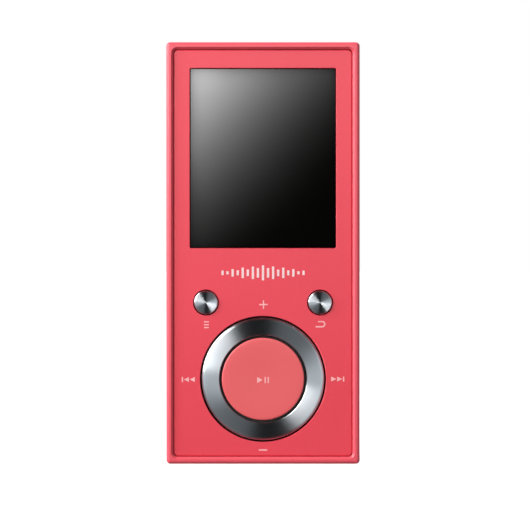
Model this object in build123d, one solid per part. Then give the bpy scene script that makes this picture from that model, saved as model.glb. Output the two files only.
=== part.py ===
from build123d import *
import os

# A pocket digital audio player, standing on its lower end with the screen towards -Y.
# Millimetres. X is to the right, Z is up and Y runs from the front to the back.
# The origin is the middle of the lower end. Depths are measured inwards from the front rim.

# ---------------------------------------------------------------- overall
body_width = 39.0
body_depth = 9.0
corner_radius = 0.8  # of the outline, seen from the front
outer_edge_radius = 0.7  # where the sides roll over into the front rim
back_edge_radius = 0.9  # where the back rolls over into the sides

# ---------------------------------------------------------------- layout of the face
ring_bottom_margin = 4.4  # from the lower end up to the ring's hole
ring_radius = 12.35
ring_gap = 0.35  # between the ring and its hole
button_rise = 15.4  # small buttons above the ring's centre
button_spread = 11.5  # small buttons to each side of the middle
window_rise = 10.95  # window's lower edge above the small buttons
window_width = 29.5
window_height = 36.3
window_top_margin = 5.25  # from the window's upper edge to the upper end

# ---------------------------------------------------------------- casing
wall = 1.2
rim_width = 1.0
rim_height = 0.55  # the rim stands this far in front of the panel
rim_slope = 0.45  # the rim's inner side leans inwards by this much
ledge_width = 0.8  # the panel's shelf, beyond the rim's slope
ledge_thickness = 0.7
panel_thickness = 1.3
panel_gap = 0.05
panel_corner_radius = 0.9
panel_edge_radius = 0.35
tape_thickness = 0.1
back_thickness = 1.1
seam_bevel = 0.12
rib_height = 0.7  # locating ribs inside the back cover
rib_width = 0.8
rib_boss_gap = 2.0
fit_gap = 0.1
cut_over = 1.0  # cuts run this far past the face they open

# ---------------------------------------------------------------- window and display
window_corner_radius = 0.35
window_sink = 0.1
window_edge_bevel = 0.08
window_thickness = 0.7
window_gap = 0.05
window_shelf = 0.45
gasket_thickness = 0.25
gasket_width = 1.0
display_side_margin = 2.25  # the module beyond the window, left and right
display_foot = 7.2  # the module below the window
display_head = 1.7  # the module above the window
display_thickness = 2.4
display_skin = 0.25
display_corner_radius = 0.5
display_opening_gap = 0.3  # the bezel's opening beyond the window
display_glass_thickness = 0.9
ribbon_width = 10.0
ribbon_thickness = 0.12
ribbon_depth_gap = 0.1  # between the glass and the ribbon
ribbon_slot_height = 0.6
connector_length = 12.0
connector_width = 3.0
connector_height = 1.3
connector_drop = 1.3  # connector below the module

# ---------------------------------------------------------------- keys
ring_inner_radius = 8.85
ring_crest = 0.3  # depth of the ring's highest line
ring_bevel = 0.6
ring_bevel_drop = 0.5
ring_crown = 0.1
ring_thickness = 0.7
carrier_wall_inset = 0.15
carrier_inner_inset = 0.45
select_radius = 8.2
select_depth = 0.4  # depth of its outer face
select_cap = 0.9
select_edge_radius = 0.22
select_wall = 1.0
key_flange = 0.75
key_flange_thickness = 0.3
select_flange_room = 0.45  # below the ring, so that the ring can rock
carrier_room = 0.6  # between the panel and the carrier's flange
carrier_flange = 0.4  # the flange beyond the hole
carrier_flange_thickness = 0.35
carrier_web_radius = 5.4
gimbal_room = 0.45
gimbal_thickness = 0.5
gimbal_inner_gap = 0.4
gimbal_width = 1.4
pin_radius = 0.25
pin_clearance = 0.05
pin_root = 0.3  # how far a pin is let into the rocking frame
lug_wall = 0.25
lug_thickness = 0.8
lug_half_width = 0.9
lug_gap = 0.35
board_room = 0.45  # between the rocking lugs and the board
nub_radius = 0.6
nub_circle = 7.0
dome_radius = 1.8
select_dome_radius = 2.3
dome_height = 0.3
dome_skin = 0.08
dome_flat = 0.45  # share of a dome's radius that is flat
key_rest_gap = 0.02
button_radius = 2.38
button_gap = 0.22
button_crest = 0.15
button_bevel = 0.3
button_cap_thickness = 0.85
button_flange_gap = 0.05
stem_radius = 1.0
select_stem_radius = 1.5
hole_edge_radius = 0.12

# ---------------------------------------------------------------- board and what it carries
board_thickness = 0.8
board_edge_gap = 0.5
board_foot_gap = 0.4
board_above_buttons = 2.9
board_corner_radius = 0.6
board_cutout_gap = 0.2  # round the headphone socket
jack_width = 6.0
jack_height = 4.2
jack_length = 13.5
jack_bore_radius = 1.8
jack_bore_depth = 14.2
jack_side_gap = 0.7
jack_back_gap = 0.3
jack_corner_radius = 0.4
nose_clearance = 0.05
nose_hole_flare = 0.15  # the nose's hole is this much wider at the outside
jack_nose_end = 0.05  # the nose stops this far above the lower end
jack_rocker_gap = 0.55  # in front of the socket, where the rocker's edge comes down
contact_thickness = 0.15
contact_height = 1.2
contact_overlap = 0.5  # beyond the board's two faces
contact_rises = (2, 6, 10)  # contacts above the socket's lower end
port_across = 6.0  # the charging port's centre, right of the middle
port_width = 7.5
port_height = 2.35
port_length = 5.4
port_skin = 0.25
port_inset = 0.3
port_opening_radius = 0.3
port_corner_cut = 0.8
tongue_side_gap = 1.1  # from the tongue to the shell's outer side
tongue_thickness = 0.5
tongue_offset = 0.15  # in front of the shell's middle
tongue_sink = 0.8
card_socket_width = 13.6
card_socket_length = 14.0
card_socket_height = 1.4
card_socket_rise = 0.3  # above the case-screw boss
card_skin = 0.2
card_floor = 0.35
card_end_wall = 1.2
card_slot_length = 11.6
card_slot_width = 1.2
switch_rise = 9.4  # power switch above the ring's centre
switch_length = 6.6
switch_width = 2.7
switch_height = 1.4
switch_travel = 2.0
switch_slot_depth = 1.6
slider_length = 4.6
slider_width = 2.0
slider_end_radius = 0.99
slider_pocket_depth = 0.6
slider_sink = 0.08
slider_neck = 1.6
slider_neck_width = 1.1
slider_plate_length = 3.2
slider_groove_pitch = 0.55
slider_groove_width = 0.24
slider_groove_depth = 0.15
lever_size = 0.8
lever_reach = 1.4  # into the switch

# ---------------------------------------------------------------- packages on the board
# each size is (width, height, thickness)
chip_bevel = 0.1
processor_size = (7.0, 7.0, 0.9)
processor_right_of_jack = 6.1
processor_rise = 2.0
memory_size = (12.0, 17.4, 1.0)
memory_inset = 4.0
memory_drop = 2.2  # below the case-screw bosses
crystal_size = (3.2, 2.5, 0.7)
crystal_corner_radius = 0.4
crystal_across = 6.2  # right of the charging port's centre
crystal_rise = 7.6
controller_size = (2.9, 1.6, 1.1)
controller_across = 5.6
controller_rise = 1.6
inductor_size = (3.0, 3.0, 1.2)
inductor_corner_cut = 0.5
inductor_across = -1.6
inductor_rise = 7.4
passive_size = (1.0, 0.5, 0.5)
passive_pitch = 1.6
processor_column = -0.6  # the columns' left sides, from the middle
memory_column = 0.8
port_row = 8.6
port_row_rise = 11.0

# ---------------------------------------------------------------- battery and chassis
chassis_thickness = 0.5
chassis_top_gap = 0.4
chassis_foot_gap = 0.15  # above the board
chassis_corner_radius = 0.6
chassis_side_gap = 0.3
chassis_notch_half = 8.0  # the notch that lets the ribbon through
chassis_notch_rise = 1.0
ear_thickness = 0.8
ear_half_width = 1.2
ear_foot = 1.1  # the ear below its screw
ear_side_inset = 1.6  # from the board's side to the ear's screw
ear_drop = 1.3  # from the board's upper edge to the ear's screw
battery_thickness = 2.7
battery_side_gap = 3.7  # room for the screw bosses beside the cell
battery_foot = 1.8
battery_head = 2.4
battery_corner_radius = 1.2
battery_edge_radius = 0.6
battery_tape_width = 20.0
battery_tape_margin = 5.0
protection_board_width = 18.0
protection_board_height = 1.5
protection_board_thickness = 0.8
protection_board_sink = 1.0  # its middle, behind the cell's front
lead_radius = 0.35
lead_bend = 0.45
lead_pad_drop = 1.4  # below the board's upper edge
lead_places = (3.0, 5.0)  # red and black, right of the middle

# ---------------------------------------------------------------- fasteners
boss_radius = 1.5
boss_inset = 1.8  # boss centre to the wall's inner face
boss_web = 2.1
screw_radius = 0.7
screw_head_radius = 1.25
screw_length = 3.6
screw_clearance = 0.05
screw_sink = 0.05  # screw heads below the back face
screw_cross = (1.5, 0.3, 0.4)  # length, width and depth of the cross
board_screw_radius = 0.5
board_screw_head_radius = 0.95
board_screw_head = 0.45
board_screw_length = 1.4
board_screw_cross = (1.2, 0.25, 0.25)
board_screw_clearance = 0.1
thread_gap = 0.02

# ---------------------------------------------------------------- worked out: outline
half_width = body_width / 2
pocket_inset = rim_width + rim_slope
inner_half_width = half_width - wall
hole_radius = ring_radius + ring_gap
ring_z = ring_bottom_margin + hole_radius
button_z = ring_z + button_rise
window_bottom = button_z + window_rise
window_top = window_bottom + window_height
window_z = (window_bottom + window_top) / 2
body_height = window_top + window_top_margin
mid_z = body_height / 2

# ---------------------------------------------------------------- worked out: depths
panel_front = rim_height
panel_back = panel_front + panel_thickness
ledge_front = panel_back + tape_thickness
ledge_back = ledge_front + ledge_thickness
seam = body_depth - back_thickness
window_front = panel_front + window_sink
window_back = window_front + window_thickness
window_shelf_front = window_back + tape_thickness
display_front = panel_back + gasket_thickness
display_back = display_front + display_thickness
chassis_back = display_back + chassis_thickness
battery_front = chassis_back + tape_thickness
protection_board_depth = battery_front + protection_board_sink
ring_back = ring_crest + ring_thickness
flange_front = panel_back + carrier_room
flange_back = flange_front + carrier_flange_thickness
gimbal_front = flange_back + gimbal_room
gimbal_back = gimbal_front + gimbal_thickness
pivot_depth = (gimbal_front + gimbal_back) / 2
lug_back = pivot_depth + pin_radius + lug_wall
board_front = lug_back + board_room
board_back = board_front + board_thickness
key_end = board_front - dome_height - key_rest_gap

# ---------------------------------------------------------------- worked out: places
flange_radius = hole_radius + carrier_flange
gimbal_inner = ring_inner_radius + carrier_wall_inset + gimbal_inner_gap
gimbal_outer = gimbal_inner + gimbal_width
panel_lug_x = flange_radius + lug_gap
carrier_lug_z = gimbal_outer + lug_gap
display_half_width = window_width / 2 + display_side_margin
display_bottom = window_bottom - display_foot
display_top = window_top + display_head
boss_x = inner_half_width - boss_inset
boss_z = ring_z
boss_places = [(side * boss_x, z) for side in (-1, 1) for z in (boss_z, body_height - boss_z)]
board_half_width = inner_half_width - board_edge_gap
board_bottom = wall + board_foot_gap
board_top = button_z + board_above_buttons
jack_x = jack_side_gap + jack_width / 2 - inner_half_width
jack_depth = seam - jack_back_gap - jack_height / 2
jack_front = jack_depth - jack_height / 2
jack_base = wall + fit_gap
jack_top = jack_base + jack_length
jack_nose_radius = jack_height / 2
port_depth = board_back + port_height / 2
card_right = inner_half_width - fit_gap
card_left = card_right - card_socket_length
card_bottom = boss_z + boss_radius + card_socket_rise
card_z = card_bottom + card_socket_width / 2
card_depth = board_back + card_socket_height / 2 + card_skin / 2
switch_z = ring_z + switch_rise
switch_depth = board_back + switch_height / 2
switch_outer_x = fit_gap - board_half_width
slider_plate_left = fit_gap / 2 - inner_half_width
slider_plate_right = -board_half_width - fit_gap
battery_half_width = inner_half_width - battery_side_gap
battery_bottom = display_bottom + battery_foot
battery_top = display_top - battery_head
chassis_top = body_height - wall - chassis_top_gap
chassis_bottom = board_top + chassis_foot_gap
ear_half_x = board_half_width - ear_side_inset
ear_z = board_top - ear_drop
ribbon_front = display_front + display_skin + display_glass_thickness + ribbon_depth_gap
connector_top = display_bottom - connector_drop
connector_front = board_front - connector_height


# ---------------------------------------------------------------- shapes used again and again
def depth_to_y(depth):
    return depth - body_depth / 2


def slab(outline, front, back):
    """A flat outline, drawn in X and Z, made solid between two depths."""
    plane = Plane(origin=(0, depth_to_y(front), 0), x_dir=(1, 0, 0), z_dir=(0, -1, 0))
    return extrude(plane * outline, amount=front - back)


def block(left, right, front, back, bottom, top):
    middle = ((left + right) / 2, depth_to_y((front + back) / 2), (bottom + top) / 2)
    return Pos(*middle) * Box(right - left, back - front, top - bottom)


def turned(profile, x, z):
    """A face drawn as (radius, depth), turned about the line through x, z that runs front to back."""
    placed = Plane(origin=(x, depth_to_y(0), z)) * profile
    return revolve(placed, axis=Axis((x, 0, z), (0, 1, 0)))


def outline_of(*points):
    return make_face(Polyline(*points, close=True))


def round_slab(x, z, radius, front, back):
    return slab(Pos(x, z) * Circle(radius), front, back)


def rod_x(left, right, depth, z, radius):
    return Pos((left + right) / 2, depth_to_y(depth), z) * Rot(0, 90, 0) * Cylinder(radius, right - left)


def rod_z(x, depth, bottom, top, radius):
    return Pos(x, depth_to_y(depth), (bottom + top) / 2) * Cylinder(radius, top - bottom)


def inset_rectangle(inset, radius):
    """The player's outline, moved inwards."""
    return Pos(0, mid_z) * RectangleRounded(body_width - 2 * inset, body_height - 2 * inset, radius)


def window_rectangle(width, height, radius=window_corner_radius):
    return Pos(0, window_z) * RectangleRounded(width, height, radius)


def front_edges(solid):
    return solid.faces().sort_by(Axis.Y)[0].edges()


# ---------------------------------------------------------------- casing
def side_frame():
    """The band round the sides, with the raised rim, the panel's shelf and the screw bosses."""
    frame = slab(inset_rectangle(0, corner_radius), 0, seam)
    frame = fillet(front_edges(frame), outer_edge_radius)
    frame = chamfer(frame.faces().sort_by(Axis.Y)[-1].edges(), seam_bevel)
    frame -= slab(inset_rectangle(pocket_inset, corner_radius), 0, ledge_front)
    frame = chamfer(frame.faces().sort_by(Axis.Y)[0].inner_wires()[0].edges(), rim_slope)
    frame -= slab(inset_rectangle(pocket_inset + ledge_width, corner_radius), ledge_front, ledge_back)
    frame -= slab(inset_rectangle(wall, corner_radius), ledge_back, seam)
    for x, z in boss_places:
        frame += screw_boss(x, z)
    for x, z in boss_places:
        frame -= round_slab(x, z, screw_radius, board_back, seam)
    frame -= nose_hole()
    frame -= jack_room(fit_gap)
    frame -= port_opening()
    frame -= side_slot(half_width, card_z, card_depth, card_slot_length, card_slot_width, wall + cut_over)
    return frame - slider_opening()


def screw_boss(x, z):
    """A post for a case screw, tied to the side wall by a web."""
    side = x / abs(x)
    left, right = sorted((x, side * (half_width - wall / 2)))
    post = round_slab(x, z, boss_radius, board_back, seam)
    return post + block(left, right, board_back, seam, z - boss_web / 2, z + boss_web / 2)


def jack_room(clearance):
    """The headphone socket's space, kept free by the shelf and the rocker."""
    half = jack_width / 2 + clearance
    return block(jack_x - half, jack_x + half, jack_front - clearance, seam, jack_base, jack_top + clearance)


def nose_hole():
    """The flared hole through the lower end for the headphone socket's nose."""
    inner = jack_nose_radius + nose_clearance
    hole = Cone(inner + nose_hole_flare, inner, wall)
    return Pos(jack_x, depth_to_y(jack_depth), wall / 2) * hole


def port_opening():
    outline = RectangleRounded(port_width + 2 * fit_gap, port_height + 2 * fit_gap, port_opening_radius)
    placed = Pos(port_across, depth_to_y(port_depth), -cut_over) * outline
    return extrude(placed, amount=wall + 2 * cut_over)


def side_slot(x, z, depth, length, width, deep):
    """A round-ended slot cut into the left or right side, deep millimetres from the face at x."""
    plane = Plane(origin=(x, depth_to_y(depth), z), x_dir=(0, 0, 1), z_dir=(1, 0, 0))
    return extrude(plane * SlotOverall(length, width), amount=deep, both=True)


def slider_opening():
    """A shallow round-ended pocket for the knob, with a slot for its neck right through the wall."""
    middle = switch_z + switch_travel / 2
    pocket = side_slot(-half_width, middle, switch_depth, slider_length + switch_travel + 4 * fit_gap,
                       slider_width + 2 * fit_gap, slider_pocket_depth)
    half_length = (slider_neck + switch_travel) / 2 + fit_gap
    half_neck = slider_neck_width / 2 + fit_gap
    return pocket + block(-half_width - cut_over, -inner_half_width + cut_over, switch_depth - half_neck,
                          switch_depth + half_neck, middle - half_length, middle + half_length)


def back_cover():
    """The flat back, with countersunk screw holes and the ribs that centre it in the band."""
    cover = slab(inset_rectangle(0, corner_radius), seam, body_depth)
    cover = fillet(cover.faces().sort_by(Axis.Y)[-1].edges(), back_edge_radius)
    cover = chamfer(front_edges(cover), seam_bevel)
    rib_x = inner_half_width - fit_gap
    clear = boss_radius + rib_boss_gap
    for side in (-1, 1):
        left, right = sorted((side * rib_x, side * (rib_x - rib_width)))
        cover += block(left, right, seam - rib_height, seam, boss_z + clear, body_height - boss_z - clear)
    rib_z = body_height - wall - fit_gap
    half = battery_half_width
    cover += block(-half, half, seam - rib_height, seam, rib_z - rib_width, rib_z)
    for x, z in boss_places:
        cover -= turned(countersink_profile(), x, z)
    return cover


def countersink_profile():
    """The hole for a case screw: its cone is the screw's own, and the shank has clearance."""
    hole = screw_radius + screw_clearance
    top = body_depth - screw_sink
    cone_foot = top - (screw_head_radius - hole)
    outside = body_depth + cut_over
    inside = seam - cut_over
    return outline_of((0, outside), (screw_head_radius, outside), (screw_head_radius, top),
                      (hole, cone_foot), (hole, inside), (0, inside))


def case_screw(x, z):
    top = body_depth - screw_sink
    cone_foot = top - (screw_head_radius - screw_radius)
    screw = turned(outline_of((0, top), (screw_head_radius, top), (screw_radius, cone_foot),
                              (screw_radius, top - screw_length), (0, top - screw_length)), x, z)
    return cross_recess(screw, x, z, top, *screw_cross)


def cross_recess(screw, x, z, top, length, width, deep):
    """The two crossed slots in a screw's head."""
    for across, along in ((length / 2, width / 2), (width / 2, length / 2)):
        screw -= block(x - across, x + across, top - deep, top + cut_over, z - along, z + along)
    return screw


def case_screws():
    return Compound(children=[case_screw(x, z) for x, z in boss_places])


def front_panel():
    """The coloured face plate: window shelf, ring hole, two button holes and the ring's two bearing lugs."""
    panel = slab(inset_rectangle(pocket_inset + panel_gap, panel_corner_radius), panel_front, panel_back)
    panel = fillet(front_edges(panel), panel_edge_radius)
    panel -= slab(window_rectangle(window_width, window_height), panel_front, window_shelf_front)
    shelf = 2 * window_shelf
    opening = window_rectangle(window_width - shelf, window_height - shelf)
    panel -= slab(opening, window_shelf_front, panel_back)
    panel -= round_slab(0, ring_z, hole_radius, panel_front, panel_back)
    button_hole = button_radius + button_gap
    for side in (-1, 1):
        panel -= round_slab(side * button_spread, button_z, button_hole, panel_front, panel_back)
    hole_edges = [edge for wire in panel.faces().sort_by(Axis.Y)[0].inner_wires() for edge in wire.edges()]
    panel = fillet(hole_edges, hole_edge_radius)
    for side in (-1, 1):
        left, right = sorted((side * panel_lug_x, side * (panel_lug_x + lug_thickness)))
        panel += block(left, right, panel_back, lug_back, ring_z - lug_half_width, ring_z + lug_half_width)
        panel -= rod_x(left - cut_over, right + cut_over, pivot_depth, ring_z, pin_radius + pin_clearance)
    return panel


def panel_adhesive():
    frame = inset_rectangle(pocket_inset + panel_gap, panel_corner_radius)
    hole = inset_rectangle(pocket_inset + ledge_width, corner_radius)
    return slab(frame - hole, panel_back, ledge_front)


# ---------------------------------------------------------------- window and display
def display_window():
    gap = 2 * window_gap
    lens = slab(window_rectangle(window_width - gap, window_height - gap, window_corner_radius - window_gap),
                window_front, window_back)
    return chamfer(front_edges(lens), window_edge_bevel)


def window_adhesive():
    gap = 2 * window_gap
    shelf = 2 * window_shelf
    frame = window_rectangle(window_width - gap, window_height - gap)
    return slab(frame - window_rectangle(window_width - shelf, window_height - shelf),
                window_back, window_shelf_front)


def display_gasket():
    frame = window_rectangle(window_width + 2 * gasket_width, window_height + 2 * gasket_width)
    return slab(frame - window_rectangle(window_width, window_height), panel_back, display_front)


def display_bezel():
    """The pressed steel tray that holds the display's glass and its backlight."""
    half = display_half_width
    tray = block(-half, half, display_front, display_back, display_bottom, display_top)
    tray = fillet(tray.edges().filter_by(Axis.Y), display_corner_radius)
    skin = display_skin
    tray -= block(skin - half, half - skin, display_front + skin, display_back - skin, display_bottom + skin,
                  display_top - skin)
    gap = 2 * display_opening_gap
    opening = window_rectangle(window_width + gap, window_height + gap)
    tray -= slab(opening, display_front, display_front + skin)
    half_ribbon = ribbon_width / 2 + fit_gap
    slot_front = ribbon_front - 2 * ribbon_depth_gap
    tray -= block(-half_ribbon, half_ribbon, slot_front, slot_front + ribbon_slot_height,
                  display_bottom - cut_over, display_bottom + skin)
    return tray


def inside_bezel(front, back):
    skin = display_skin + window_gap
    return block(skin - display_half_width, display_half_width - skin, front, back,
                 display_bottom + skin, display_top - skin)


def display_glass():
    front = display_front + display_skin
    return inside_bezel(front, front + display_glass_thickness)


def display_backlight():
    return inside_bezel(display_front + display_skin + display_glass_thickness, display_back - display_skin)


def display_ribbon():
    """The flat cable that leaves the module's foot and runs straight down into its connector."""
    foot = display_bottom + display_skin + window_gap
    return block(-ribbon_width / 2, ribbon_width / 2, ribbon_front, ribbon_front + ribbon_thickness,
                 connector_top - connector_width / 2, foot)


def display_connector():
    half = connector_length / 2
    body = block(-half, half, connector_front, board_front, connector_top - connector_width, connector_top)
    mouth = ribbon_width / 2 + fit_gap
    body -= block(-mouth, mouth, ribbon_front - window_gap, ribbon_front + ribbon_thickness + window_gap,
                  connector_top - connector_width / 2 - fit_gap, connector_top)
    return body


# ---------------------------------------------------------------- keys
def nav_ring_cap():
    """The turned metal ring: a crowned land, an outer bevel and a small inner bevel."""
    inner_land = ring_inner_radius + ring_bevel / 2
    outer_land = ring_radius - ring_bevel
    land = ring_crest + ring_crown
    middle = (inner_land + outer_land) / 2
    crown = ThreePointArc((inner_land, land), (middle, ring_crest), (outer_land, land))
    rest = Polyline((outer_land, land), (ring_radius, land + ring_bevel_drop), (ring_radius, ring_back),
                    (ring_inner_radius, ring_back), (ring_inner_radius, land + ring_bevel_drop / 2),
                    (inner_land, land))
    return turned(make_face([crown, rest]), 0, ring_z)


def nav_ring_carrier():
    """The plastic rocker under the ring: flange, web, four dome nubs and two bearing lugs."""
    inner = ring_inner_radius + carrier_inner_inset
    outer = ring_radius - carrier_wall_inset
    carrier = turned(outline_of((inner, ring_back), (outer, ring_back), (outer, flange_front),
                                (flange_radius, flange_front), (flange_radius, flange_back),
                                (carrier_web_radius, flange_back), (carrier_web_radius, flange_front),
                                (inner, flange_front)), 0, ring_z)
    for x, z in ((-1, 0), (1, 0), (0, -1), (0, 1)):
        carrier += round_slab(x * nub_circle, ring_z + z * nub_circle, nub_radius, flange_back, key_end)
    for side in (-1, 1):
        low, high = sorted((side * carrier_lug_z, side * (carrier_lug_z + lug_thickness)))
        carrier += block(-lug_half_width, lug_half_width, flange_back, lug_back, ring_z + low, ring_z + high)
        carrier -= rod_z(0, pivot_depth, ring_z + low - fit_gap, ring_z + high + fit_gap,
                         pin_radius + pin_clearance)
    return carrier - jack_room(jack_rocker_gap)


def nav_ring_gimbal():
    """The rocking frame: its two level pins turn in the panel, its two upright pins in the ring."""
    gimbal = turned(outline_of((gimbal_inner, gimbal_front), (gimbal_outer, gimbal_front),
                               (gimbal_outer, gimbal_back), (gimbal_inner, gimbal_back)), 0, ring_z)
    root = gimbal_outer - pin_root
    for side in (-1, 1):
        left, right = sorted((side * root, side * (panel_lug_x + lug_thickness - fit_gap)))
        gimbal += rod_x(left, right, pivot_depth, ring_z, pin_radius)
        low, high = sorted((side * root, side * (carrier_lug_z + lug_thickness - fit_gap)))
        gimbal += rod_z(0, pivot_depth, ring_z + low, ring_z + high, pin_radius)
    return gimbal


def select_button():
    """The round centre key: a shallow cap, a flange held under the ring and a stem on its dome."""
    cap_back = select_depth + select_cap
    flange_top = ring_back + select_flange_room
    flange_end = flange_top + key_flange_thickness
    flange = select_radius + key_flange
    inner = select_radius - select_wall
    profile = outline_of((0, select_depth), (select_radius, select_depth), (select_radius, flange_top),
                         (flange, flange_top), (flange, flange_end), (inner, flange_end), (inner, cap_back),
                         (select_stem_radius, cap_back), (select_stem_radius, key_end), (0, key_end))
    return fillet(front_edges(turned(profile, 0, ring_z)), select_edge_radius)


def button_cap(side):
    """A small turned metal button: a flat face with a bevelled edge."""
    back = button_crest + button_cap_thickness
    face = button_radius - button_bevel
    return turned(outline_of((0, button_crest), (face, button_crest),
                             (button_radius, button_crest + button_bevel), (button_radius, back), (0, back)),
                  side * button_spread, button_z)


def button_stem(side):
    cap_back = button_crest + button_cap_thickness
    flange_top = panel_back + button_flange_gap
    flange_end = flange_top + key_flange_thickness
    neck = button_radius - carrier_wall_inset
    flange = button_radius + key_flange
    profile = outline_of((0, cap_back), (neck, cap_back), (neck, flange_top), (flange, flange_top),
                         (flange, flange_end), (stem_radius, flange_end), (stem_radius, key_end),
                         (0, key_end))
    return turned(profile, side * button_spread, button_z)


def dome(x, z, radius):
    """A snap dome: a thin pressed cap standing on the board."""
    foot = board_front
    top = foot - dome_height
    flat = radius * dome_flat
    profile = outline_of((0, top), (flat, top), (radius, foot - dome_skin), (radius, foot),
                         (radius - dome_skin, foot), (flat, top + dome_skin), (0, top + dome_skin))
    return turned(profile, x, z)


def dome_pair(x, z):
    return Compound(children=[dome(side * x * nub_circle, ring_z + side * z * nub_circle, dome_radius)
                              for side in (-1, 1)])


# ---------------------------------------------------------------- board and what it carries
def main_board():
    board = block(-board_half_width, board_half_width, board_front, board_back, board_bottom, board_top)
    board = fillet(board.edges().filter_by(Axis.Y), board_corner_radius)
    jack_right = jack_x + jack_width / 2 + board_cutout_gap
    board -= block(-half_width, jack_right, board_front, board_back, 0, jack_top + board_cutout_gap)
    hole = board_screw_radius + board_screw_clearance
    for side in (-1, 1):
        board -= round_slab(side * ear_half_x, ear_z, hole, board_front, board_back)
    return board


def headphone_jack():
    """The socket for a 3.5 mm plug: its nose fills the hole in the lower end."""
    half = jack_width / 2
    jack = block(jack_x - half, jack_x + half, jack_front, jack_front + jack_height, jack_base, jack_top)
    jack = fillet(jack.edges().filter_by(Axis.Z), jack_corner_radius)
    jack += rod_z(jack_x, jack_depth, jack_nose_end, jack_base, jack_nose_radius)
    jack -= rod_z(jack_x, jack_depth, 0, jack_bore_depth, jack_bore_radius)
    return jack


def jack_contacts():
    """Three sprung contacts on the jack's inner side, soldered to the board's edge."""
    right = jack_x + jack_width / 2
    front = board_front - contact_overlap
    back = board_back + contact_overlap
    return Compound(children=[block(right, right + contact_thickness, front, back, z, z + contact_height)
                              for z in [jack_base + rise for rise in contact_rises]])


def port_shell():
    """The charging port's steel shell, open towards the lower end, with its two rear corners cut off."""
    half = port_width / 2
    front = depth_to_y(board_back)
    back = depth_to_y(board_back + port_height)
    cut = port_corner_cut
    outline = outline_of((port_across - half, front), (port_across + half, front),
                         (port_across + half, back - cut), (port_across + half - cut, back),
                         (port_across - half + cut, back), (port_across - half, back - cut))
    shell = Pos(0, 0, port_inset) * extrude(outline, amount=port_length)
    return shell - Pos(0, 0, port_inset) * extrude(offset(outline, amount=-port_skin),
                                                   amount=port_length - port_skin)


def port_tongue():
    half = port_width / 2 - tongue_side_gap
    front = port_depth - tongue_offset - tongue_thickness / 2
    return block(port_across - half, port_across + half, front, front + tongue_thickness,
                 port_inset + tongue_sink, port_inset + port_length - port_skin)


def card_socket_base():
    """The socket's plastic floor and end wall."""
    top = card_bottom + card_socket_width
    floor = block(card_left, card_right, board_back, board_back + card_floor, card_bottom, top)
    wall_back = board_back + card_socket_height - card_skin
    return floor + block(card_left, card_left + card_end_wall, board_back, wall_back,
                         card_bottom + card_skin, top - card_skin)


def card_socket_shell():
    """The socket's steel cover, open to the right."""
    front = board_back + card_floor
    back = board_back + card_socket_height
    cover = block(card_left, card_right, front, back, card_bottom, card_bottom + card_socket_width)
    return cover - block(card_left, card_right, front, back - card_skin, card_bottom + card_skin,
                         card_bottom + card_socket_width - card_skin)


def power_switch_body():
    half = switch_length / 2
    middle = switch_z + switch_travel / 2
    body = block(switch_outer_x, switch_outer_x + switch_width, board_back, board_back + switch_height,
                 middle - half, middle + half)
    slot = (lever_size + switch_travel) / 2 + fit_gap
    half_lever = (lever_size + fit_gap) / 2
    right = switch_outer_x + switch_slot_depth
    return body - block(switch_outer_x - cut_over, right, switch_depth - half_lever,
                        switch_depth + half_lever, middle - slot, middle + slot)


def power_switch_lever():
    half = lever_size / 2
    return block(slider_plate_left, switch_outer_x + lever_reach, switch_depth - half, switch_depth + half,
                 switch_z - half, switch_z + half)


def power_slider():
    """The ribbed knob on the left side. Its neck passes through the wall and its plate drives the lever."""
    outer = slider_sink - half_width
    inner = slider_pocket_depth - fit_gap / 2 - half_width
    half = slider_length / 2
    front = switch_depth - slider_width / 2
    back = switch_depth + slider_width / 2
    knob = block(outer, inner, front, back, switch_z - half, switch_z + half)
    knob = fillet(knob.edges().filter_by(Axis.X), slider_end_radius)
    half_groove = slider_groove_width / 2
    for step in (-2, -1, 0, 1, 2):
        z = switch_z + step * slider_groove_pitch
        knob -= block(outer - cut_over, outer + slider_groove_depth, front - cut_over, back + cut_over,
                      z - half_groove, z + half_groove)
    half_neck = slider_neck_width / 2
    knob += block(inner, slider_plate_left, switch_depth - half_neck, switch_depth + half_neck,
                  switch_z - slider_neck / 2, switch_z + slider_neck / 2)
    half = slider_plate_length / 2
    plate = block(slider_plate_left, slider_plate_right, front, back, switch_z - half, switch_z + half)
    hole = lever_size / 2 + fit_gap / 2
    plate -= block(slider_plate_left, slider_plate_right, switch_depth - hole, switch_depth + hole,
                   switch_z - hole, switch_z + hole)
    return knob + plate


def chip(place, size):
    """A package on the back of the board: (left, bottom) and (width, height, thickness)."""
    left, bottom = place
    width, height, thickness = size
    return block(left, left + width, board_back, board_back + thickness, bottom, bottom + height)


def bevelled_chip(place, size):
    body = chip(place, size)
    return chamfer(body.edges().group_by(Axis.Y)[-1], chip_bevel)


def audio_processor():
    return bevelled_chip((jack_x + processor_right_of_jack, board_bottom + processor_rise), processor_size)


def flash_memory():
    return bevelled_chip((memory_inset - board_half_width, boss_z - memory_drop), memory_size)


def board_crystal():
    place = (port_across + crystal_across, board_bottom + crystal_rise)
    return fillet(chip(place, crystal_size).edges().filter_by(Axis.Y), crystal_corner_radius)


def charge_controller():
    return chip((port_across + controller_across, board_bottom + controller_rise), controller_size)


def power_inductor():
    place = (port_across + inductor_across, board_bottom + inductor_rise)
    return chamfer(chip(place, inductor_size).edges().filter_by(Axis.Y), inductor_corner_cut)


def board_passives():
    """Rows of small ceramic capacitors and resistors."""
    places = [(processor_column, board_bottom + processor_rise + passive_pitch * i) for i in range(5)]
    places += [(memory_column, boss_z + passive_pitch * i) for i in range(9)]
    places += [(port_row + passive_pitch * i, board_bottom + port_row_rise) for i in range(3)]
    return Compound(children=[chip(place, passive_size) for place in places])


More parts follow.
